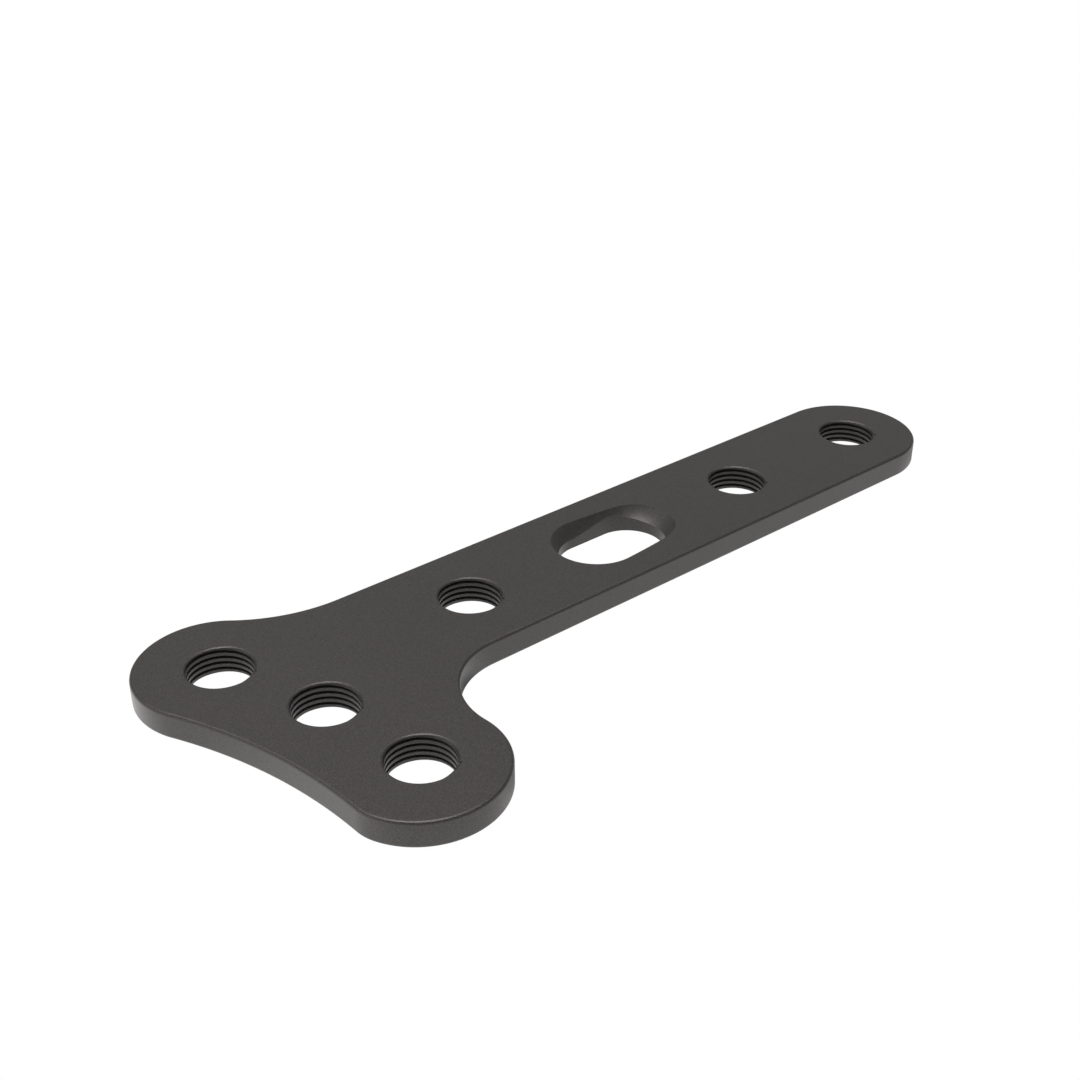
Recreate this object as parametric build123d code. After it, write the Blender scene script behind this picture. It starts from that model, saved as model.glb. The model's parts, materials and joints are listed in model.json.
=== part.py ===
from build123d import *
from math import acos, atan2, cos, degrees, hypot, radians, sin, sqrt
import os

# An oblique T-shaped bone plate, machined from one flat piece of metal.
# The origin is on the neck hole's axis, in the underside that lies on the bone.
# +X runs along the shaft to its rounded end, +Y is the side of the wide neck curve, +Z is up.

# Driving dimensions in millimetres, and angles in degrees
PLATE_THICKNESS = 1.7
TOP_EDGE_ROUND = 0.2
UNDERSIDE_EDGE_ROUND = 0.2

# Shaft: its screw positions follow the neck hole at one even pitch
SHAFT_WIDTH = 10.0
SCREW_PITCH = 12.0
SLOT_POSITION = 1
ROUND_SHAFT_POSITIONS = (2, 3)

# Oblique head: its screws lie on an arc, whose middle one is behind and beside the neck hole
HEAD_SETBACK = 13.1
HEAD_SIDESTEP = 3.83
HEAD_TILT = 15.75
HEAD_ARC_RADIUS = 35.0
HEAD_SCREW_STEP = 12.2

# End lobes of the head, and the two concave curves of the neck
LOBE_RADIUS = 5.0
WIDE_LOBE_ANGLE = 12.5
TIGHT_LOBE_ANGLE = 12.4
TIGHT_LOBE_TRIM = 0.15
LOBE_CORNER_BLEND = 3.0
WIDE_NECK_RADIUS = 10.0
TIGHT_NECK_RADIUS = 5.0

# Round screw holes: the bore is the thread's inner diameter
THREAD_BORE_DIAMETER = 3.95
HOLE_RIM_ROUND = 0.2

# Compression slot: a through slot under a ramped seat for a screw's round head
SLOT_WIDTH = 4.9
SLOT_TRAVEL = 3.0
SEAT_BALL_RADIUS = 3.14
SEAT_LOW_CENTRE = 0.94
SEAT_HIGH_CENTRE = 1.7
SEAT_RUN = 3.7


def polar(centre, radius, angle):
    """The point at a distance and a direction from a centre."""
    x = centre[0] + radius * cos(radians(angle))
    y = centre[1] + radius * sin(radians(angle))
    return (x, y)


def direction(start, end):
    """The direction from one point to another, in degrees."""
    return degrees(atan2(end[1] - start[1], end[0] - start[0]))


# Places worked out from the driving dimensions
MIDDLE_SCREW = (-HEAD_SETBACK, -HEAD_SIDESTEP)
HEAD_CENTRE = polar(MIDDLE_SCREW, -HEAD_ARC_RADIUS, HEAD_TILT)
HEAD_EDGE_RADIUS = HEAD_ARC_RADIUS - LOBE_RADIUS
WIDE_LOBE = polar(HEAD_CENTRE, HEAD_ARC_RADIUS, HEAD_TILT + WIDE_LOBE_ANGLE)
TIGHT_LOBE = polar(HEAD_CENTRE, HEAD_ARC_RADIUS - TIGHT_LOBE_TRIM, HEAD_TILT - TIGHT_LOBE_ANGLE)
SHAFT_END = (ROUND_SHAFT_POSITIONS[-1] * SCREW_PITCH, 0.0)
SLOT_CENTRE = SLOT_POSITION * SCREW_PITCH


def head_screws():
    """The three screw positions on the head's arc."""
    return [polar(HEAD_CENTRE, HEAD_ARC_RADIUS, HEAD_TILT + step * HEAD_SCREW_STEP) for step in (1, 0, -1)]


def shaft_screws():
    """The round screw positions of the neck and the shaft."""
    return [(position * SCREW_PITCH, 0.0) for position in (0,) + ROUND_SHAFT_POSITIONS]


def neck_centre(lobe, neck_radius, side):
    """The centre of the curve that touches the shaft's side and an end lobe from outside."""
    y = side * (SHAFT_WIDTH / 2 + neck_radius)
    reach = LOBE_RADIUS + neck_radius
    return (lobe[0] + sqrt(reach**2 - (y - lobe[1]) ** 2), y)


def arc(centre, radius, first, last):
    """The arc about a centre from one direction to another, turning as the numbers run."""
    middle = polar(centre, radius, (first + last) / 2)
    return ThreePointArc(polar(centre, radius, first), middle, polar(centre, radius, last))


def lobe_corner():
    """Where the head's concave edge crosses the trimmed lobe: its direction from the head's centre."""
    lobe_distance = hypot(TIGHT_LOBE[0] - HEAD_CENTRE[0], TIGHT_LOBE[1] - HEAD_CENTRE[1])
    cosine = (lobe_distance**2 + HEAD_EDGE_RADIUS**2 - LOBE_RADIUS**2) / (2 * lobe_distance * HEAD_EDGE_RADIUS)
    return direction(HEAD_CENTRE, TIGHT_LOBE) - degrees(acos(min(1.0, cosine)))


def outline():
    """The plate's edge, anticlockwise from the wide neck curve's end on the shaft."""
    half = SHAFT_WIDTH / 2
    wide_neck = neck_centre(WIDE_LOBE, WIDE_NECK_RADIUS, 1)
    tight_neck = neck_centre(TIGHT_LOBE, TIGHT_NECK_RADIUS, -1)
    corner_angle = lobe_corner()
    corner = polar(HEAD_CENTRE, HEAD_EDGE_RADIUS, corner_angle)
    wide_touch = direction(WIDE_LOBE, wide_neck)
    tight_touch = direction(TIGHT_LOBE, tight_neck)
    lobe_inside = HEAD_TILT + WIDE_LOBE_ANGLE
    curves = [
        arc(WIDE_LOBE, LOBE_RADIUS, wide_touch, lobe_inside + 180),
        arc(HEAD_CENTRE, HEAD_EDGE_RADIUS, lobe_inside, corner_angle),
        arc(TIGHT_LOBE, LOBE_RADIUS, direction(TIGHT_LOBE, corner), tight_touch),
        arc(tight_neck, TIGHT_NECK_RADIUS, tight_touch + 180, 90),
        Line((tight_neck[0], -half), (SHAFT_END[0], -half)),
        arc(SHAFT_END, half, -90, 90),
        Line((SHAFT_END[0], half), (wide_neck[0], half)),
        arc(wide_neck, WIDE_NECK_RADIUS, -90, wide_touch - 180),
    ]
    face = make_face(curves)
    corner_point = face.vertices().sort_by_distance(Vertex(*corner, 0))[0]
    return fillet(corner_point, LOBE_CORNER_BLEND)


def edges_at(solid, height):
    """The edges that lie in one level plane."""
    return solid.edges().filter_by_position(Axis.Z, height, height)


def blank():
    """The flat plate with both of its edges rounded, before any hole."""
    body = extrude(outline(), PLATE_THICKNESS)
    body = fillet(edges_at(body, PLATE_THICKNESS), TOP_EDGE_ROUND)
    return fillet(edges_at(body, 0), UNDERSIDE_EDGE_ROUND)


def screw_hole():
    """The cutter of a round hole: a plain bore with a rounded rim on top."""
    bore = THREAD_BORE_DIAMETER / 2
    rim = bore + HOLE_RIM_ROUND
    top = PLATE_THICKNESS
    profile = [
        Line((0, 0), (bore, 0)),
        Line((bore, 0), (bore, top - HOLE_RIM_ROUND)),
        RadiusArc((bore, top - HOLE_RIM_ROUND), (rim, top), HOLE_RIM_ROUND),
        Line((rim, top), (0, top)),
        Line((0, top), (0, 0)),
    ]
    return revolve(Plane.XZ * make_face(profile), Axis.Z)


def compression_slot():
    """The cutter of the slot: straight through below, with a ball's ramped path above."""
    through = Pos(SLOT_CENTRE, 0) * extrude(SlotCenterToCenter(SLOT_TRAVEL, SLOT_WIDTH), PLATE_THICKNESS)
    low_x = SLOT_CENTRE - SLOT_TRAVEL / 2
    low = Vector(low_x, 0, PLATE_THICKNESS + SEAT_LOW_CENTRE)
    high = Vector(low_x + SEAT_RUN, 0, PLATE_THICKNESS + SEAT_HIGH_CENTRE)
    ramp = high - low
    from_low_end = (Align.CENTER, Align.CENTER, Align.MIN)
    path = Plane(origin=low, z_dir=ramp) * Cylinder(SEAT_BALL_RADIUS, ramp.length, align=from_low_end)
    ball = Sphere(SEAT_BALL_RADIUS)
    return through + path + Pos(low) * ball + Pos(high) * ball


def plate():
    """The whole plate: the blank, less its round screw holes and its slot."""
    body = blank()
    for x, y in head_screws() + shaft_screws():
        body -= Pos(x, y) * screw_hole()
    return body - compression_slot()


os.makedirs("parts", exist_ok=True)
export_step(plate(), "parts/plate.step")
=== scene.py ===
# %% [markdown]
# # A dark oblique T-plate
#
# This notebook dresses one machined piece: a small bone plate with an oblique three-lobed head, six
# threaded screw holes and one ramped slot. The solid model already has its outline, holes and slot
# at their real size. It comes in as a fixed frame, so nothing here is fitted by eye.
#
# What the solid model leaves out is the screw thread in the six round holes. A thread is too fine
# for the solid, but it is the first thing that a viewer sees in the holes. So the notebook builds
# one closed mesh that stands for the plate, with real thread grooves, and then gives it its
# blasted, anodised finish.

# %% Load the frame
import json
from functools import partial
from math import acos, atan2, ceil, cos, degrees, hypot, pi, radians, sin, sqrt

import bmesh
import bpy
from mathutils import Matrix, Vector


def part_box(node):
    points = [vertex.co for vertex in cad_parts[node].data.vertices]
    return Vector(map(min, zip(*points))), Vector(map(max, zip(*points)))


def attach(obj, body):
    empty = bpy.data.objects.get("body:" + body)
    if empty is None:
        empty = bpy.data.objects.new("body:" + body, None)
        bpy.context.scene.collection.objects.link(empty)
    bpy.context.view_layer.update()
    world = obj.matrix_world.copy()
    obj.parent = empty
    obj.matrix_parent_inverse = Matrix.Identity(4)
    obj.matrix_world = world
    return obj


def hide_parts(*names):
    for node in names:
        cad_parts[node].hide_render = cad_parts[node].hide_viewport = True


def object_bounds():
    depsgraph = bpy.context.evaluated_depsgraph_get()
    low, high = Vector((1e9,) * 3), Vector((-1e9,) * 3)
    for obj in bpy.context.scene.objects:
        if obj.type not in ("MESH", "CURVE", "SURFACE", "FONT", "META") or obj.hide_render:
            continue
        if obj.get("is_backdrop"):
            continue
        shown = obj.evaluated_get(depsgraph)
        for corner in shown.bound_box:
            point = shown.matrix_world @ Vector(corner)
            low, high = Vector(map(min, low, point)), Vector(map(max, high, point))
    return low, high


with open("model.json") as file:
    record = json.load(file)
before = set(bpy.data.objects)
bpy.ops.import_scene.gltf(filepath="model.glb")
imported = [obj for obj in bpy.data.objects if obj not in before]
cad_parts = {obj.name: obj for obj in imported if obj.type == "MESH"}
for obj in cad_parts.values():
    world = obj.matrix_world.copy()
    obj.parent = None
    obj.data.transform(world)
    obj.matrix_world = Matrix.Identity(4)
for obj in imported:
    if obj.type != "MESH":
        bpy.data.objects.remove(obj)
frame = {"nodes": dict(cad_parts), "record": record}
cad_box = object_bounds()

print("CAD nodes:", sorted(frame["nodes"]))

# %% [markdown]
# ## Sizes
#
# The holes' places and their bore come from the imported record, and the thickness from the solid's
# box. The other sizes are those that the plate was designed with, in metres: `MM` turns millimetres
# to metres. Every later step works from these names, so a changed size moves all that depends on
# it.

# %% Sizes that the frame gives
MM = 0.001
plate_low, plate_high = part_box("plate")
THICKNESS = round(plate_high.z - plate_low.z, 6)
mounts = {mount["name"]: mount for mount in frame["record"]["mounts"]}
hole_centres = {name: Vector(mount["pos_m"][:2]) for name, mount in mounts.items()
                if mount["kind"] == "threaded_hole"}
BORE_RADIUS = mounts["neck_hole"]["dims"]["r_mm"] * MM
print(f"{len(hole_centres)} screw holes of radius {BORE_RADIUS / MM:.3f} mm")
print(f"plate {THICKNESS / MM:.2f} mm thick")

# %% Sizes of the design
HALF_WIDTH = 5.0 * MM
LOBE_RADIUS = 5.0 * MM
HEAD_ARC_RADIUS = 35.0 * MM
HEAD_TILT = 15.75
WIDE_LOBE_ANGLE = 12.5
TIGHT_LOBE_ANGLE = 12.4
TIGHT_LOBE_TRIM = 0.15 * MM
LOBE_CORNER_BLEND = 3.0 * MM
WIDE_NECK_RADIUS = 10.0 * MM
TIGHT_NECK_RADIUS = 5.0 * MM
TOP_EDGE_ROUND = 0.2 * MM
UNDERSIDE_EDGE_ROUND = 0.2 * MM
print(f"shaft {2 * HALF_WIDTH / MM:.0f} mm wide, head tilted by {HEAD_TILT} degrees")

# %% [markdown]
# ## The outline
#
# The real plate's edge is milled along a chain of arcs: two round end lobes, one long hollow edge
# across the head, two hollow curves at the neck, and a half circle at the end of the shaft. A chain
# of arcs can be drawn as a curve object, or worked out point by point. Here it is worked out,
# because each point then also knows its outward direction, and that direction is what the rounded
# edge is built along.

# %% Points and directions in the plane
def polar(centre, radius, angle):
    """The point at a distance and a direction, in degrees, from a centre."""
    return centre + radius * Vector((cos(radians(angle)), sin(radians(angle))))


def heading(start, end):
    """The direction from one point to another, in degrees."""
    return degrees(atan2(end.y - start.y, end.x - start.x))


def arc(centre, radius, first, last, spacing, hollow=False):
    """Points along an arc with their outward directions, without the last point."""
    steps = ceil(radius * abs(radians(last - first)) / spacing)
    angles = [first + (last - first) * step / steps for step in range(steps)]
    outward = -1 if hollow else 1
    origin = Vector((0, 0))
    return [(polar(centre, radius, angle), polar(origin, outward, angle)) for angle in angles]


def straight(start, end, spacing):
    """Points along a straight edge with their outward directions, without the last point."""
    along = (end - start).normalized()
    steps = ceil((end - start).length / spacing)
    return [(start.lerp(end, step / steps), Vector((along.y, -along.x))) for step in range(steps)]


# %% Centres of the head, the lobes and the neck curves
head_centre = polar(hole_centres["head_hole_middle"], -HEAD_ARC_RADIUS, HEAD_TILT)
head_edge_radius = HEAD_ARC_RADIUS - LOBE_RADIUS
wide_lobe = polar(head_centre, HEAD_ARC_RADIUS, HEAD_TILT + WIDE_LOBE_ANGLE)
tight_lobe = polar(head_centre, HEAD_ARC_RADIUS - TIGHT_LOBE_TRIM, HEAD_TILT - TIGHT_LOBE_ANGLE)
shaft_end = hole_centres["shaft_end_hole"]


def neck_centre(lobe, neck_radius, side):
    """The centre of the hollow curve that touches the shaft's side and an end lobe."""
    y = side * (HALF_WIDTH + neck_radius)
    return Vector((lobe.x + sqrt((LOBE_RADIUS + neck_radius) ** 2 - (y - lobe.y) ** 2), y))


def blend_angle():
    """The direction, from the head's centre, of the small blend beside the tight lobe."""
    near = head_edge_radius + LOBE_CORNER_BLEND
    far = (tight_lobe - head_centre).length
    reach = LOBE_RADIUS - LOBE_CORNER_BLEND
    between = degrees(acos((far**2 + near**2 - reach**2) / (2 * far * near)))
    return heading(head_centre, tight_lobe) - between


# %% The whole outline
ARC_SPACING = 0.14 * MM
STRAIGHT_SPACING = 1.0 * MM


def shaft_side(first, last, y):
    """One straight side of the shaft, from one place along it to another."""
    return straight(Vector((first, y)), Vector((last, y)), STRAIGHT_SPACING)


def outline():
    """The plate's edge as points and outward directions, anticlockwise from the wide neck curve."""
    wide_neck = neck_centre(wide_lobe, WIDE_NECK_RADIUS, 1)
    tight_neck = neck_centre(tight_lobe, TIGHT_NECK_RADIUS, -1)
    wide_touch = heading(wide_lobe, wide_neck)
    tight_touch = heading(tight_lobe, tight_neck)
    inside = HEAD_TILT + WIDE_LOBE_ANGLE
    corner = blend_angle()
    blend = polar(head_centre, head_edge_radius + LOBE_CORNER_BLEND, corner)
    blend_end = heading(tight_lobe, blend) % 360
    return [
        *arc(wide_lobe, LOBE_RADIUS, wide_touch, inside + 180, ARC_SPACING),
        *arc(head_centre, head_edge_radius, inside, corner, ARC_SPACING, hollow=True),
        *arc(blend, LOBE_CORNER_BLEND, corner + 180, blend_end, ARC_SPACING / 2),
        *arc(tight_lobe, LOBE_RADIUS, blend_end, tight_touch + 360, ARC_SPACING),
        *arc(tight_neck, TIGHT_NECK_RADIUS, tight_touch + 180, 90, ARC_SPACING, hollow=True),
        *shaft_side(tight_neck.x, shaft_end.x, -HALF_WIDTH),
        *arc(shaft_end, HALF_WIDTH, -90, 90, ARC_SPACING),
        *shaft_side(shaft_end.x, wide_neck.x, HALF_WIDTH),
        *arc(wide_neck, WIDE_NECK_RADIUS, -90, wide_touch - 180, ARC_SPACING, hollow=True),
    ]


plate_edge = outline()
along = [point.x / MM for point, outward in plate_edge]
print(f"outline of {len(plate_edge)} points, from x = {min(along):.2f} mm to {max(along):.2f} mm")

# %% [markdown]
# ## The edge band
#
# Around the rim the plate has a straight wall between two small rounds, where a tool and then the
# blasting took the corners off. A Bevel modifier could do this, but its width would change at the
# blend beside the tight lobe. Moving each outline point along its own direction keeps the round
# even all the way, so the band is made of rows: each row is a step inwards and a height.

# %% Rows of points make a band
# The bore finish is the outer one with a darker grey: painted shade in the holes and on the slot's
# straight wall
PLATE_FINISH = {"outer": 0, "bore": 1, "seat": 2}


def add_band(mesh, rows, finish):
    """Join rows of points, each a closed loop, with four-sided faces of one finish."""
    loops = [[mesh.verts.new(point) for point in row] for row in rows]
    for lower, upper in zip(loops, loops[1:]):
        for here in range(len(lower)):
            ahead = (here + 1) % len(lower)
            face = mesh.faces.new((lower[here], lower[ahead], upper[ahead], upper[here]))
            face.material_index = PLATE_FINISH[finish]


# %% The wall of the outline and its two rounds
ROUND_STEPS = 10


def quarter_round(radius):
    """A round's steps inwards and upwards, from the wall to the flat."""
    angles = [pi / 2 * step / ROUND_STEPS for step in range(ROUND_STEPS + 1)]
    return [(radius * (1 - cos(angle)), radius * sin(angle)) for angle in angles]


wall_top = THICKNESS - TOP_EDGE_ROUND
edge_profile = [(inward, UNDERSIDE_EDGE_ROUND - rise)
                for inward, rise in reversed(quarter_round(UNDERSIDE_EDGE_ROUND))]
edge_profile += [(inward, wall_top + rise) for inward, rise in quarter_round(TOP_EDGE_ROUND)]
edge_rows = [[(*(point - outward * inward), height) for point, outward in plate_edge]
             for inward, height in edge_profile]

plate_mesh = bmesh.new()
add_band(plate_mesh, edge_rows, "outer")
print(f"edge band of {len(edge_rows)} rows and {len(plate_mesh.faces)} faces")

# %% [markdown]
# ## The threaded holes
#
# Each round hole holds the plate's own thread: one V-shaped groove that climbs the bore as a
# right-handed helix, so that the threaded head of a screw locks in it. Seen from above at a slant
# it is a stack of dark lines on the far wall. A Screw modifier would sweep a profile into a helix,
# but its ends would stick out past both faces of the plate. Here the wall is one grid instead. Its
# rows follow the helix, so that the groove's edges are crisp, and all rows that would pass a face
# of the plate are pressed flat against it.
#
# The same wall is needed six times and follows a rule, so Geometry Nodes make it. The tree works
# out each grid point's height, how far the rim's round has opened the bore there, and how deep the
# groove is there. Where the thread begins, its cutter came in through the top face and left a small
# nick outside the rim.

# %% A helper for node trees
def add(tree, kind, inputs=(), **settings):
    """Add a node, set its properties, and fill or link its inputs by their name or number."""
    made = tree.nodes.new(kind)
    for key, value in settings.items():
        setattr(made, key, value)
    for key, value in dict(inputs).items():
        if isinstance(value, bpy.types.NodeSocket):
            tree.links.new(value, made.inputs[key])
        else:
            made.inputs[key].default_value = value
    return made


def maths(tree, operation, *values):
    """The result of one Math node."""
    return add(tree, "ShaderNodeMath", dict(enumerate(values)), operation=operation).outputs[0]


def new_group(name, kind, inputs, outputs):
    """A node group with named inputs, as (name, type, value), and outputs, as (name, type)."""
    group = bpy.data.node_groups.new(name, kind)
    for title, socket_type, value in inputs:
        socket = group.interface.new_socket(title, in_out="INPUT", socket_type=socket_type)
        if value is not None:
            socket.default_value = value
    for title, socket_type in outputs:
        group.interface.new_socket(title, in_out="OUTPUT", socket_type=socket_type)
    return group


# %% Sizes of the thread
HOLE_RIM_ROUND = 0.2 * MM
WALL_COLUMNS = 112
THREAD_START = 97 / WALL_COLUMNS

THREAD_INPUTS = [
    ("Centres", "NodeSocketGeometry", None),
    ("Thickness", "NodeSocketFloat", THICKNESS),
    ("Bore Radius", "NodeSocketFloat", BORE_RADIUS),
    ("Rim Round", "NodeSocketFloat", HOLE_RIM_ROUND),
    ("Pitch", "NodeSocketFloat", 0.39 * MM),
    ("Groove Depth", "NodeSocketFloat", 0.19 * MM),
    ("Groove Width", "NodeSocketFloat", 0.208 * MM),
    ("Root Width", "NodeSocketFloat", 0.03 * MM),
    ("Root Height", "NodeSocketFloat", 0.203 * MM),
    ("Thread Start", "NodeSocketFloat", THREAD_START),
    ("Nick Reach", "NodeSocketFloat", 0.31 * MM),
    ("Nick Drop", "NodeSocketFloat", 0.16 * MM),
    ("Columns", "NodeSocketInt", WALL_COLUMNS),
    ("Rows Per Turn", "NodeSocketInt", 15),
    ("Turns", "NodeSocketInt", 7),
    ("Turns Below", "NodeSocketInt", 2),
    ("Weld Distance", "NodeSocketFloat", 0.0015 * MM),
    ("Material", "NodeSocketMaterial", None),
]
print(f"{len(THREAD_INPUTS)} inputs for a threaded wall")


# %% Where a point of a threaded wall lies
def wall_height(do, size, turn, share):
    """A wall point's height, and how far the rim's round opens the bore there."""
    # Way up the wall and over the rim's round, measured along its surface
    start = do("SUBTRACT", size["Root Height"], do("MULTIPLY", size["Pitch"], size["Turns Below"]))
    climb = do("MULTIPLY", size["Pitch"], do("ADD", do("MULTIPLY", share, size["Turns"]), turn))
    straight_wall = do("SUBTRACT", size["Thickness"], size["Rim Round"])
    whole_way = do("ADD", straight_wall, do("MULTIPLY", size["Rim Round"], pi / 2))
    way = do("MINIMUM", do("MAXIMUM", do("ADD", start, climb), 0.0), whole_way)

    tip = do("DIVIDE", do("MAXIMUM", do("SUBTRACT", way, straight_wall), 0.0), size["Rim Round"])
    rise = do("MULTIPLY", size["Rim Round"], do("SINE", tip))
    height = do("ADD", do("MINIMUM", way, straight_wall), rise)
    opened = do("MULTIPLY", size["Rim Round"], do("SUBTRACT", 1.0, do("COSINE", tip)))
    return height, opened


def groove_depth(do, size, turn, height):
    """The depth of the V there, from the distance to the groove's root along the hole's axis."""
    above_root = do("DIVIDE", do("SUBTRACT", height, size["Root Height"]), size["Pitch"])
    turns_up = do("SUBTRACT", above_root, turn)
    from_root = do("ABSOLUTE", do("SUBTRACT", do("FRACT", do("ADD", turns_up, 0.5)), 0.5))
    off_root = do("MULTIPLY", from_root, size["Pitch"])
    half_width = do("MULTIPLY", size["Groove Width"], 0.5)
    half_root = do("MULTIPLY", size["Root Width"], 0.5)
    flank_width = do("SUBTRACT", half_width, half_root)
    flank = do("DIVIDE", do("SUBTRACT", half_width, off_root), flank_width)
    return do("MULTIPLY", size["Groove Depth"], do("MINIMUM", do("MAXIMUM", flank, 0.0), 1.0))


def nick_depth(do, size, turn, height):
    """The depth of the nick at the thread's start, which is one column wide to each side."""
    away = do("ABSOLUTE", do("SUBTRACT", turn, size["Thread Start"]))
    beside = do("MAXIMUM", do("SUBTRACT", 1.0, do("MULTIPLY", away, size["Columns"])), 0.0)
    below = do("DIVIDE", do("SUBTRACT", size["Thickness"], height), size["Nick Drop"])
    return do("MULTIPLY", do("MULTIPLY", size["Nick Reach"], beside), do("LESS_THAN", below, 1.0))


# %% The tree that makes a threaded wall at each centre
def threaded_wall_tree():
    """Geometry Nodes: one threaded hole wall, placed on every point of the input mesh."""
    outputs = [("Walls", "NodeSocketGeometry")]
    tree = new_group("Threaded walls", "GeometryNodeTree", THREAD_INPUTS, outputs)
    size = add(tree, "NodeGroupInput").outputs
    do = partial(maths, tree)

    # A flat grid of one by one: X becomes the turn about the axis, Y the share of the climb
    rows = do("ADD", do("MULTIPLY", size["Rows Per Turn"], size["Turns"]), 1.0)
    columns = do("ADD", size["Columns"], 1.0)
    grid = add(tree, "GeometryNodeMeshGrid",
               {"Size X": 1.0, "Size Y": 1.0, "Vertices X": columns, "Vertices Y": rows})
    position = add(tree, "GeometryNodeInputPosition").outputs[0]
    place = add(tree, "ShaderNodeSeparateXYZ", {0: position}).outputs
    turn = do("ADD", place["X"], 0.5)
    share = do("ADD", place["Y"], 0.5)

    # The deepest of the rim's round, the groove and the nick sets the radius
    height, opened = wall_height(do, size, turn, share)
    carved = do("MAXIMUM", opened, groove_depth(do, size, turn, height))
    deepest = do("MAXIMUM", carved, nick_depth(do, size, turn, height))
    radius = do("ADD", size["Bore Radius"], deepest)
    angle = do("MULTIPLY", turn, 2 * pi)
    spot = add(tree, "ShaderNodeCombineXYZ",
               {"X": do("MULTIPLY", radius, do("COSINE", angle)),
                "Y": do("MULTIPLY", radius, do("SINE", angle)), "Z": height})

    # The grid is bent to the wall, turned to face the hole, and welded where it meets itself
    wall = add(tree, "GeometryNodeSetPosition",
               {"Geometry": grid.outputs["Mesh"], "Position": spot.outputs[0]})
    facing = add(tree, "GeometryNodeFlipFaces", {"Mesh": wall.outputs[0]})
    welded = add(tree, "GeometryNodeMergeByDistance",
                 {"Geometry": facing.outputs[0], "Distance": size["Weld Distance"]})

    copies = add(tree, "GeometryNodeInstanceOnPoints",
                 {"Points": size["Centres"], "Instance": welded.outputs[0]})
    realized = add(tree, "GeometryNodeRealizeInstances", {"Geometry": copies.outputs[0]})
    dressed = add(tree, "GeometryNodeSetMaterial",
                  {"Geometry": realized.outputs[0], "Material": size["Material"]})
    add(tree, "NodeGroupOutput", {"Walls": dressed.outputs[0]})
    return tree


# %% Objects, and their meshes once the modifiers have run
def new_object(name, data):
    """A new object in the scene."""
    made = bpy.data.objects.new(name, data)
    bpy.context.scene.collection.objects.link(made)
    return made


def plain_mesh(thing):
    """An object's mesh as its modifiers make it."""
    graph = bpy.context.evaluated_depsgraph_get()
    return bpy.data.meshes.new_from_object(thing.evaluated_get(graph), depsgraph=graph)


def grown_mesh(tree, points, values):
    """The mesh that a Geometry Nodes tree makes on loose points, its inputs set by identifier."""
    seed_mesh = bpy.data.meshes.new("centres")
    seed_mesh.from_pydata(points, [], [])
    seed = new_object("centres", seed_mesh)
    nodes = seed.modifiers.new("grow", "NODES")
    nodes.node_group = tree
    sockets = {item.name: item.identifier for item in tree.interface.items_tree
               if item.in_out == "INPUT"}
    for name, value in values.items():
        nodes[sockets[name]] = value
    made = plain_mesh(seed)
    bpy.data.objects.remove(seed)
    return made


# %% Grow the six walls
plate_metal = bpy.data.materials.new("blasted_outer_faces")
bore_metal_painted_shade = bpy.data.materials.new("blasted_bores_painted_shade")
seat_metal = bpy.data.materials.new("blasted_seat")
underside_centres = [(*centre, 0.0) for centre in hole_centres.values()]
walls = grown_mesh(threaded_wall_tree(), underside_centres, {"Material": bore_metal_painted_shade})
print(f"threaded walls of {len(walls.polygons)} faces, all six holes together")

# %% [markdown]
# ## The ramped slot
#
# The slot between the neck and the shaft is what draws a fracture together. A screw goes in beside
# the end with the shallow seat, and its round head slides down a ramp as it is driven. The real
# slot is cut by a ball-nosed tool that follows a sloping path, over a plain through slot. Its
# surface is the lower side of that tool's whole path, which has a closed form: a sloping cylinder
# between two balls. So each point of the seat is worked out exactly, on rows that run outwards from
# the through slot to where the seat meets the top.

# %% Sizes of the slot
SLOT_HALF_WIDTH = 2.45 * MM
SLOT_TRAVEL = 3.0 * MM
SEAT_BALL_RADIUS = 3.14 * MM
SEAT_LOW_CENTRE = 0.94 * MM
SEAT_HIGH_CENTRE = 1.7 * MM
SEAT_RUN = 3.7 * MM
SEAT_ROWS = 16
SLOT_SPACING = 0.12 * MM

slot_centre = Vector(mounts["compression_slot"]["pos_m"][:2])
slot_left = slot_centre - Vector((SLOT_TRAVEL / 2, 0))
slot_right = slot_centre + Vector((SLOT_TRAVEL / 2, 0))
low_ball = Vector((slot_left.x, 0, THICKNESS + SEAT_LOW_CENTRE))
high_ball = low_ball + Vector((SEAT_RUN, 0, SEAT_HIGH_CENTRE - SEAT_LOW_CENTRE))
print(f"slot around x = {slot_centre.x / MM:.1f} mm, the ball's path {SEAT_RUN / MM:.1f} mm long")


# %% Height of the seat at any point
def ball_underside(ball, point):
    """The height of a ball's lower side above a point, or of its centre outside the ball."""
    across = hypot(point.x - ball.x, point.y - ball.y)
    return ball.z - sqrt(max(SEAT_BALL_RADIUS**2 - across**2, 0.0))


def seat_height(point):
    """The height of the lower side of the ball tool's whole path."""
    ramp = high_ball - low_ball
    slope = ramp.normalized()
    drop = sqrt(max(SEAT_BALL_RADIUS**2 - (point.y - low_ball.y) ** 2, 0.0))
    height = low_ball.z + ((point.x - low_ball.x) * slope.z - drop) / slope.x
    along_ramp = (Vector((point.x, point.y, height)) - low_ball).dot(slope)
    if along_ramp < 0:
        return ball_underside(low_ball, point)
    if along_ramp > ramp.length:
        return ball_underside(high_ball, point)
    return height


# %% How far the seat reaches
# Each halving doubles the precision, and 40 reach far below any tolerance
HALVINGS = 40


def seat_reach(point, outward):
    """How far outwards from the through slot the seat meets the plate's top, by halving."""
    near, far = 0.0, SEAT_BALL_RADIUS
    for _ in range(HALVINGS):
        middle = (near + far) / 2
        if seat_height(point + outward * middle) < THICKNESS:
            near = middle
        else:
            far = middle
    return near


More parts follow.
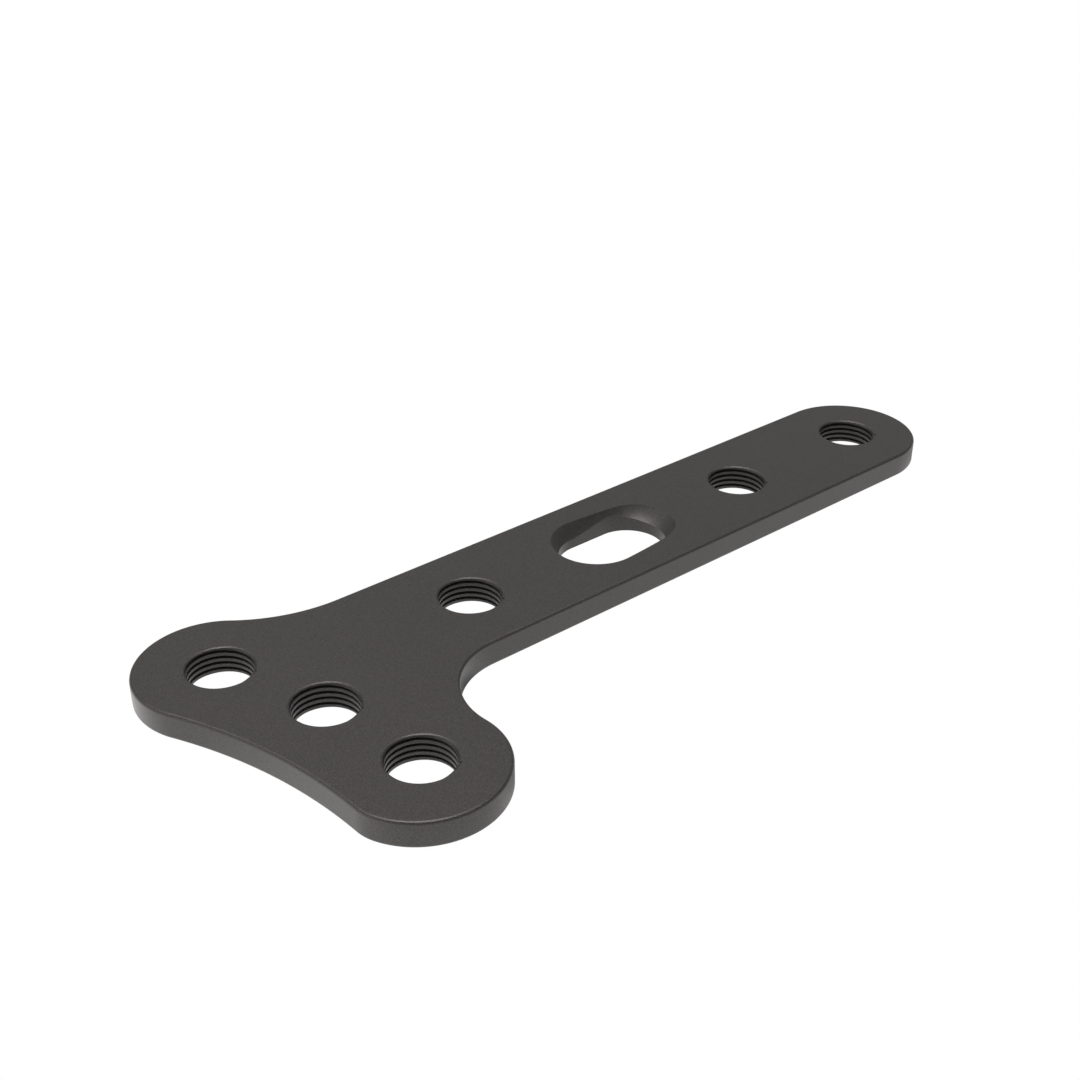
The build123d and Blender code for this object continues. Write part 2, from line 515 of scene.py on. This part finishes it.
def seat_point(point, outward, share):
    """A point of the seat, a share of the way from the through slot to the plate's top face."""
    spot = point + outward * seat_reach(point, outward) * share
    return (*spot, THICKNESS if share == 1 else seat_height(spot))


# %% The slot's wall and seat
def slot_loop():
    """The through slot's edge, anticlockwise, as points and outward directions."""
    side = Vector((0, SLOT_HALF_WIDTH))
    return [
        *arc(slot_right, SLOT_HALF_WIDTH, -90, 90, SLOT_SPACING),
        *straight(slot_right + side, slot_left + side, SLOT_SPACING),
        *arc(slot_left, SLOT_HALF_WIDTH, 90, 270, SLOT_SPACING),
        *straight(slot_left - side, slot_right - side, SLOT_SPACING),
    ]


slot_edge = slot_loop()
slot_rows = [[(*point, 0.0) for point, outward in slot_edge]]
for row in range(SEAT_ROWS + 1):
    slot_rows.append([seat_point(point, outward, row / SEAT_ROWS) for point, outward in slot_edge])
# The slot's straight wall takes the bores' darker grey, which is painted shade
add_band(plate_mesh, slot_rows[:2], "bore")
add_band(plate_mesh, slot_rows[1:], "seat")
opening = [point[0] / MM for point in slot_rows[-1]]
lowest = min(point[2] for point in slot_rows[1]) / MM
print(f"slot opening {min(opening):.2f} to {max(opening):.2f} mm along the shaft")
print(f"seat as low as {lowest:.2f} mm")

# %% [markdown]
# ## One closed mesh
#
# The walls of the rim, the slot and the six holes are now open sleeves. Two flat faces with holes
# in them close the piece. An n-gon can't have a hole, so a triangle fill does it: it takes all
# edges that lie in one plane and fills between them. Doubles are merged after that, and the closed
# surface gets its normals worked out again, so that every face points outwards.

# %% Fill the two flat faces
# Points nearer than this are one point, and heights nearer than this are one height
TOUCHING = 0.0005 * MM


def fill_level(mesh, height):
    """Fill the flat face that lies at one height, around its openings."""
    rim = [edge for edge in mesh.edges
           if edge.is_boundary and all(abs(end.co.z - height) < TOUCHING for end in edge.verts)]
    filled = bmesh.ops.triangle_fill(mesh, use_beauty=True, use_dissolve=False, edges=rim)["geom"]
    for piece in filled:
        if isinstance(piece, bmesh.types.BMFace):
            piece.material_index = PLATE_FINISH["outer"]
    return len(rim)


# %% Join all the walls, and check that the piece is closed
known = len(plate_mesh.faces)
plate_mesh.from_mesh(walls)
plate_mesh.faces.ensure_lookup_table()
for face in plate_mesh.faces[known:]:
    # The rim's round keeps the top face's lighter grey; the darker grey of the bores below it is
    # painted shade
    in_bore = face.calc_center_median().z < THICKNESS - HOLE_RIM_ROUND
    face.material_index = PLATE_FINISH["bore" if in_bore else "outer"]
rim_edges = fill_level(plate_mesh, THICKNESS) + fill_level(plate_mesh, 0.0)
bmesh.ops.remove_doubles(plate_mesh, verts=plate_mesh.verts, dist=TOUCHING)
bmesh.ops.recalc_face_normals(plate_mesh, faces=plate_mesh.faces)
open_edges = sum(not edge.is_manifold for edge in plate_mesh.edges)
volume = plate_mesh.calc_volume(signed=True) / MM**3
print(f"{rim_edges} rim edges filled, {open_edges} open edges")
print(f"{len(plate_mesh.faces)} faces around {volume:.1f} mm3")

# %% [markdown]
# ## Smooth shading without dents
#
# Smooth shading blends the normals of neighbouring faces. Beside a narrow round, that blend would
# lay a faint dent on the large flat faces, and the eye finds it at once on a plain plate. A
# Weighted Normal modifier lets the large faces win. The long thin triangles of the fill still pull
# a little, so each corner that lies in a flat face then gets a normal that points exactly up or
# down.

# %% The plate's object, with weighted normals
# Edges that turn by more degrees than this stay sharp
SHARP_ANGLE = 30

mesh = bpy.data.meshes.new("oblique_plate")
plate_mesh.to_mesh(mesh)
plate_mesh.free()
for metal in (plate_metal, bore_metal_painted_shade, seat_metal):
    mesh.materials.append(metal)
mesh.shade_smooth()
mesh.set_sharp_from_angle(angle=radians(SHARP_ANGLE))
plate = new_object("oblique_plate", mesh)
weighted = plate.modifiers.new("weighted", "WEIGHTED_NORMAL")
weighted.keep_sharp = True
shaded = plain_mesh(plate)
plate.modifiers.clear()
plate.data = shaded
bpy.data.meshes.remove(mesh)
shaded.name = "oblique_plate"
for finish, number in PLATE_FINISH.items():
    print(finish, "faces:", sum(face.material_index == number for face in shaded.polygons))

# %% Level normals on the two flat faces
# A face is level where the upright part of its normal is more than this
NEARLY_LEVEL = 0.95


def level_normals(mesh):
    """The corner normals of a mesh, exactly upright where a corner lies in a flat face."""
    normals = [corner.vector.copy() for corner in mesh.corner_normals]
    levelled = 0
    for face in mesh.polygons:
        if abs(face.normal.z) < NEARLY_LEVEL:
            continue
        for loop in face.loop_indices:
            height = mesh.vertices[mesh.loops[loop].vertex_index].co.z
            if min(abs(height), abs(height - THICKNESS)) < TOUCHING:
                normals[loop] = Vector((0, 0, 1 if face.normal.z > 0 else -1))
                levelled += 1
    return normals, levelled


corner_normals, levelled = level_normals(shaded)
shaded.normals_split_custom_set(corner_normals)
print(f"{levelled} corners levelled")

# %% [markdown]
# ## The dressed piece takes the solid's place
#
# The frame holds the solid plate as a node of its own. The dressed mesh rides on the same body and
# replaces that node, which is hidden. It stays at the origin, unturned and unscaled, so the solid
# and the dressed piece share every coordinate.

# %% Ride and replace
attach(plate, "root")
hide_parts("plate")
print("the dressed plate replaces the node 'plate'")

# %% [markdown]
# ## A blasted, dark finish
#
# The real plate is blasted with fine beads, which leaves a surface of tiny dents, and then takes a
# thin dark grey layer in a bath. The dents are much smaller than anything that the eye can follow:
# what it sees is a soft sheen with a fine, even grain. An image texture could bring the grain, but
# it would have a resolution and a seam. Procedural noise has neither, because it is worked out at
# every point of the metal.
#
# Three finishes share this grain: the outer faces, the bores with their thread, and the slot's
# seat. So the grain is a node group, built once, and each material gives it its own numbers.

# %% The grain's inputs and outputs
GRAIN_INPUTS = [
    ("Coordinates", "NodeSocketVector", None),
    ("Grain Size", "NodeSocketFloat", 0.052 * MM),
    ("Patch Size", "NodeSocketFloat", 5.0 * MM),
    ("Dark", "NodeSocketColor", None),
    ("Light", "NodeSocketColor", None),
    ("Smoothest", "NodeSocketFloat", 0.40),
    ("Roughest", "NodeSocketFloat", 0.44),
]
GRAIN_OUTPUTS = [
    ("Colour", "NodeSocketColor"),
    ("Roughness", "NodeSocketFloat"),
    ("Height", "NodeSocketFloat"),
]

# %% The grain, a node group that all three finishes use
# Nearly all of a noise lies between these two values
NOISE_RANGE = {"From Min": 0.3, "From Max": 0.7}
DENT_SHARE = 0.5


def blasted_grain():
    """A node group: the colour, the roughness and the height of a blasted surface."""
    group = new_group("Blasted grain", "ShaderNodeTree", GRAIN_INPUTS, GRAIN_OUTPUTS)
    given = add(group, "NodeGroupInput").outputs
    do = partial(maths, group)
    grain_place = {"Vector": given["Coordinates"], "Scale": do("DIVIDE", 1.0, given["Grain Size"])}
    patch_place = {"Vector": given["Coordinates"], "Scale": do("DIVIDE", 1.0, given["Patch Size"])}
    fine = add(group, "ShaderNodeTexNoise", {**grain_place, "Detail": 2.0}).outputs[0]
    dents = add(group, "ShaderNodeTexVoronoi", grain_place).outputs["Distance"]
    broad = add(group, "ShaderNodeTexNoise", {**patch_place, "Detail": 3.0}).outputs[0]

    # A Mix node has a pair of inputs for each type of data, and 6 and 7 are the colours
    grain = add(group, "ShaderNodeMapRange", {"Value": fine, **NOISE_RANGE}).outputs[0]
    colour = add(group, "ShaderNodeMix", {0: grain, 6: given["Dark"], 7: given["Light"]},
                 data_type="RGBA").outputs[2]
    roughness = add(group, "ShaderNodeMapRange",
                    {"Value": broad, **NOISE_RANGE, "To Min": given["Smoothest"],
                     "To Max": given["Roughest"]}).outputs[0]
    height = do("ADD", fine, do("MULTIPLY", dents, DENT_SHARE))
    add(group, "NodeGroupOutput", {"Colour": colour, "Roughness": roughness, "Height": height})
    return group


grain_group = blasted_grain()
print("the grain group gives:", [title for title, socket_type in GRAIN_OUTPUTS])

# %% [markdown]
# ## Three materials
#
# A dark layer on metal behaves half like metal and half like a dull paint: it mirrors the light
# softly, and it also scatters a little of it in all directions. So Metallic is a half, and the base
# colour is a warm, very dark grey. The bores and the slot's straight wall are a shade darker: that
# darker grey is painted shade, for the shade that falls in them. The seat is lighter and more like
# bare metal, and its sheen is wider. A Bump node turns the grain's height into tiny changes of the
# normal. It doesn't stand in for any shape that can be seen: the rounds, the thread and the seat are
# all in the mesh.

# %% Build a finish from the grain
GRAIN_HEIGHT = 0.002 * MM


def dress(material, metallic, grain):
    """Give a material the blasted grain with its own values."""
    material.use_nodes = True
    tree = material.node_tree
    shader = tree.nodes["Principled BSDF"]
    shader.inputs["Metallic"].default_value = metallic
    place = add(tree, "ShaderNodeTexCoord").outputs["Object"]
    group = add(tree, "ShaderNodeGroup", node_tree=grain_group)
    tree.links.new(place, group.inputs["Coordinates"])
    for name, value in grain.items():
        group.inputs[name].default_value = value
    bump = add(tree, "ShaderNodeBump",
               {"Height": group.outputs["Height"], "Distance": GRAIN_HEIGHT, "Strength": 1.0})
    tree.links.new(group.outputs["Colour"], shader.inputs["Base Color"])
    tree.links.new(group.outputs["Roughness"], shader.inputs["Roughness"])
    tree.links.new(bump.outputs[0], shader.inputs["Normal"])


def grey(level, warmth):
    """A dark grey that leans a little to red, as (red, green, blue, alpha)."""
    return (level * (1 + warmth / 2), level * (1 - warmth / 4), level * (1 - warmth / 2), 1)


# %% The three finishes
FINISHES = [
    # material, metallic, the grain's darkest and lightest grey, warmth, smoothest and roughest
    (plate_metal, 0.5, 0.034, 0.083, 0.12, 0.40, 0.44),
    # The bores' darker grey is painted shade, for the shade that falls in the holes and the slot
    (bore_metal_painted_shade, 0.5, 0.024, 0.061, 0.12, 0.40, 0.44),
    (seat_metal, 0.8, 0.056, 0.128, 0.08, 0.50, 0.54),
]
for metal, metallic, dark, light, warmth, smoothest, roughest in FINISHES:
    dress(metal, metallic, {"Dark": grey(dark, warmth), "Light": grey(light, warmth),
                            "Smoothest": smoothest, "Roughest": roughest})
print("finishes:", [metal.name for metal in plate.data.materials])

# %% [markdown]
# ## The table
#
# The plate lies on a plain white sweep, lit so strongly that it shows as pure white. A white
# surface under strong lamps would need many light paths to come out even. A glowing floor is white
# from the first sample, and it lights the plate's walls from below as the real one does.
#
# The camera sees the floor at exactly white. Were it brighter, it would eat into the plate's
# outline by a part of a pixel, because the edge pixels are a mix of both. What the walls mirror
# isn't so even. The sweep is brighter at the head's side, and the plate shades it in the tight
# neck, beside the tight lobe and beyond the shaft's end. So the glow is multiplied by a few soft
# round spots.
#
# From below the floor is see-through. It is also see-through for rays that leave the underside and
# meet it at once. So the underside can be looked at too, in the soft light that comes from below.

# %% How strongly the floor glows from place to place
WHITE = (1, 1, 1, 1)
FLOOR_GLOW = 1.27
FLOOR_SPOTS = [
    # centre, inner and outer radius, gain
    ((-24 * MM, -8.5 * MM, 0), 3 * MM, 10 * MM, 1.42),
    ((-22.5 * MM, 6.0 * MM, 0), 1 * MM, 7 * MM, 1.45),
    ((-4.9 * MM, -6.0 * MM, 0), 0.5 * MM, 2.5 * MM, 0.3),
    ((-7.0 * MM, -14.0 * MM, 0), 0.5 * MM, 3.2 * MM, 0.45),
    ((41.0 * MM, -3.0 * MM, 0), 1 * MM, 4.5 * MM, 0.55),
]


def soft_step(tree, value, edge, core, low, high):
    """A smooth step from a low value at a spot's edge to a high value at its core."""
    return add(tree, "ShaderNodeMapRange",
               {"Value": value, "From Min": edge, "From Max": core, "To Min": low, "To Max": high},
               interpolation_type="SMOOTHSTEP").outputs[0]


def floor_light(tree):
    """The floor's glow, times the gain of each spot."""
    place = add(tree, "ShaderNodeTexCoord").outputs["Object"]
    glow = FLOOR_GLOW
    for centre, inner, outer, gain in FLOOR_SPOTS:
        away = add(tree, "ShaderNodeVectorMath", {0: place, 1: centre}, operation="DISTANCE")
        share = soft_step(tree, away.outputs["Value"], outer, inner, 1.0, gain)
        glow = maths(tree, "MULTIPLY", glow, share)
    return glow


# %% The floor's paint
# A ray that meets the floor sooner than this has left the plate's underside
UNDERSIDE_GAP = 0.1 * MM

floor_paint = bpy.data.materials.new("white_floor")
floor_paint.use_nodes = True
tree = floor_paint.node_tree
tree.nodes.clear()
lit = add(tree, "ShaderNodeEmission", {"Color": WHITE, "Strength": floor_light(tree)})
seen = add(tree, "ShaderNodeEmission", {"Color": WHITE, "Strength": 1.0})
clear = add(tree, "ShaderNodeBsdfTransparent")
ray = add(tree, "ShaderNodeLightPath").outputs
shown = add(tree, "ShaderNodeMixShader",
            {0: ray["Is Camera Ray"], 1: lit.outputs[0], 2: seen.outputs[0]})
backfacing = add(tree, "ShaderNodeNewGeometry").outputs["Backfacing"]
at_once = maths(tree, "LESS_THAN", ray["Ray Length"], UNDERSIDE_GAP)
see_through = maths(tree, "MAXIMUM", backfacing, at_once)
mixed = add(tree, "ShaderNodeMixShader", {0: see_through, 1: shown.outputs[0], 2: clear.outputs[0]})
add(tree, "ShaderNodeOutputMaterial", {"Surface": mixed.outputs[0]})
print(f"glow {FLOOR_GLOW} with {len(FLOOR_SPOTS)} spots")

# %% The floor
FLOOR_REACH = 6.0

corner_sides = [(-1, -1), (1, -1), (1, 1), (-1, 1)]
floor_corners = [(x * FLOOR_REACH, y * FLOOR_REACH, 0) for x, y in corner_sides]
floor_mesh = bpy.data.meshes.new("floor")
floor_mesh.from_pydata(floor_corners, [], [(0, 1, 2, 3)])
floor_mesh.materials.append(floor_paint)
floor = new_object("floor", floor_mesh)
floor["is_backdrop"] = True
print(f"floor of {2 * FLOOR_REACH:.0f} m")

# %% [markdown]
# ## Soft studio light
#
# A dark, softly shining piece is lit by what it mirrors, so the light is drawn where it is: on the
# sky of the scene. One strong soft box hangs straight overhead, with two weaker ones beside it.
# They bring out the rims of the holes and the ramp of the slot. A pale glow stands low at the left,
# where the sweep rises, and a weaker one behind. All else is nearly dark, and that is what keeps
# the plate's flat faces so even. The light from below reaches only the underside, because the floor
# keeps it from everything else.
#
# Lamps could do the same, but each soft box here is one line: a direction, a size and a strength.
# Where the camera looks past the floor, it sees plain white.

# %% Sizes of the soft boxes
ROOM_GLOW = 0.15
SOFT_BOXES = [
    # name, azimuth, elevation, inner and outer half angle in degrees, strength
    ("overhead", 0, 90, 5, 20, 8.65),
    ("overhead, left", 130, 70, 5, 25, 2.07),
    ("overhead, right", 40, 75, 5, 25, 1.44),
    ("back wall", 80, 48, 8, 28, 0.49),
    ("far sweep", 40, 22, 5, 32, 0.20),
    ("left sweep, far", 140, 4, 10, 35, 1.09),
    ("left sweep", 180, 4, 10, 35, 0.87),
    ("below", 0, -90, 20, 85, 1.10),
]

# %% Soft boxes on the sky
world = bpy.data.worlds.new("studio")
world.use_nodes = True
tree = world.node_tree
gaze = add(tree, "ShaderNodeTexCoord").outputs["Generated"]
glow = ROOM_GLOW
for name, azimuth, elevation, inner, outer, strength in SOFT_BOXES:
    level = cos(radians(elevation))
    turn = radians(azimuth)
    towards = (level * cos(turn), level * sin(turn), sin(radians(elevation)))
    near = add(tree, "ShaderNodeVectorMath", {0: gaze, 1: towards}, operation="DOT_PRODUCT")
    edge, core = cos(radians(outer)), cos(radians(inner))
    box = soft_step(tree, near.outputs["Value"], edge, core, 0.0, strength)
    glow = maths(tree, "ADD", glow, box)
    print(f"soft box {name}: strength {strength}")

# %% White where the camera looks past the floor
# The same kind of node as in the grain: here 2 and 3 are its pair of plain values
ray = add(tree, "ShaderNodeLightPath").outputs
seen_or_lit = add(tree, "ShaderNodeMix", {0: ray["Is Camera Ray"], 2: glow, 3: 1.0})
background = tree.nodes["Background"]
background.inputs["Color"].default_value = WHITE
tree.links.new(seen_or_lit.outputs[0], background.inputs["Strength"])
bpy.context.scene.world = world
bpy.context.scene.view_settings.view_transform = "Standard"
print("view transform:", bpy.context.scene.view_settings.view_transform)

# %% [markdown]
# ## The camera
#
# The camera's lens, place and slant were worked out from the outline of the plate in the
# photograph: it looks along the plate from beyond the tight lobe, 30 degrees down.

# %% The camera
LENS = 49.455
CAMERA_PLACE = Vector((-46.88, -62.95, 49.474)) * MM + Vector((0, 0, THICKNESS))
LOOKING_DOWN = 0.5260851
TURNED_RIGHT = 0.6957667
NEAREST_VIEW = 1 * MM

camera_data = bpy.data.cameras.new("camera")
camera_data.lens = LENS
camera_data.clip_start = NEAREST_VIEW
camera = new_object("camera", camera_data)
camera.location = CAMERA_PLACE
camera.rotation_euler = (pi / 2 - LOOKING_DOWN, 0, -TURNED_RIGHT)
bpy.context.scene.camera = camera
print(f"camera {CAMERA_PLACE.z / MM:.1f} mm above the table")
print(f"looking {degrees(LOOKING_DOWN):.1f} degrees down")

# %% [markdown]
# ## The size of the finished piece
#
# The dressed piece must fill the same box as the solid, or its sizes would mislead whoever reuses
# it. So the box is measured once more, and both boxes are kept side by side.

# %% Sizes of the solid and of the dressed piece
visual_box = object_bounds()
boxes = {"cad": [list(corner) for corner in cad_box], "visual": [list(corner) for corner in visual_box]}
for name, box in boxes.items():
    print(name, "box in mm:", [[round(value / MM, 3) for value in corner] for corner in box])
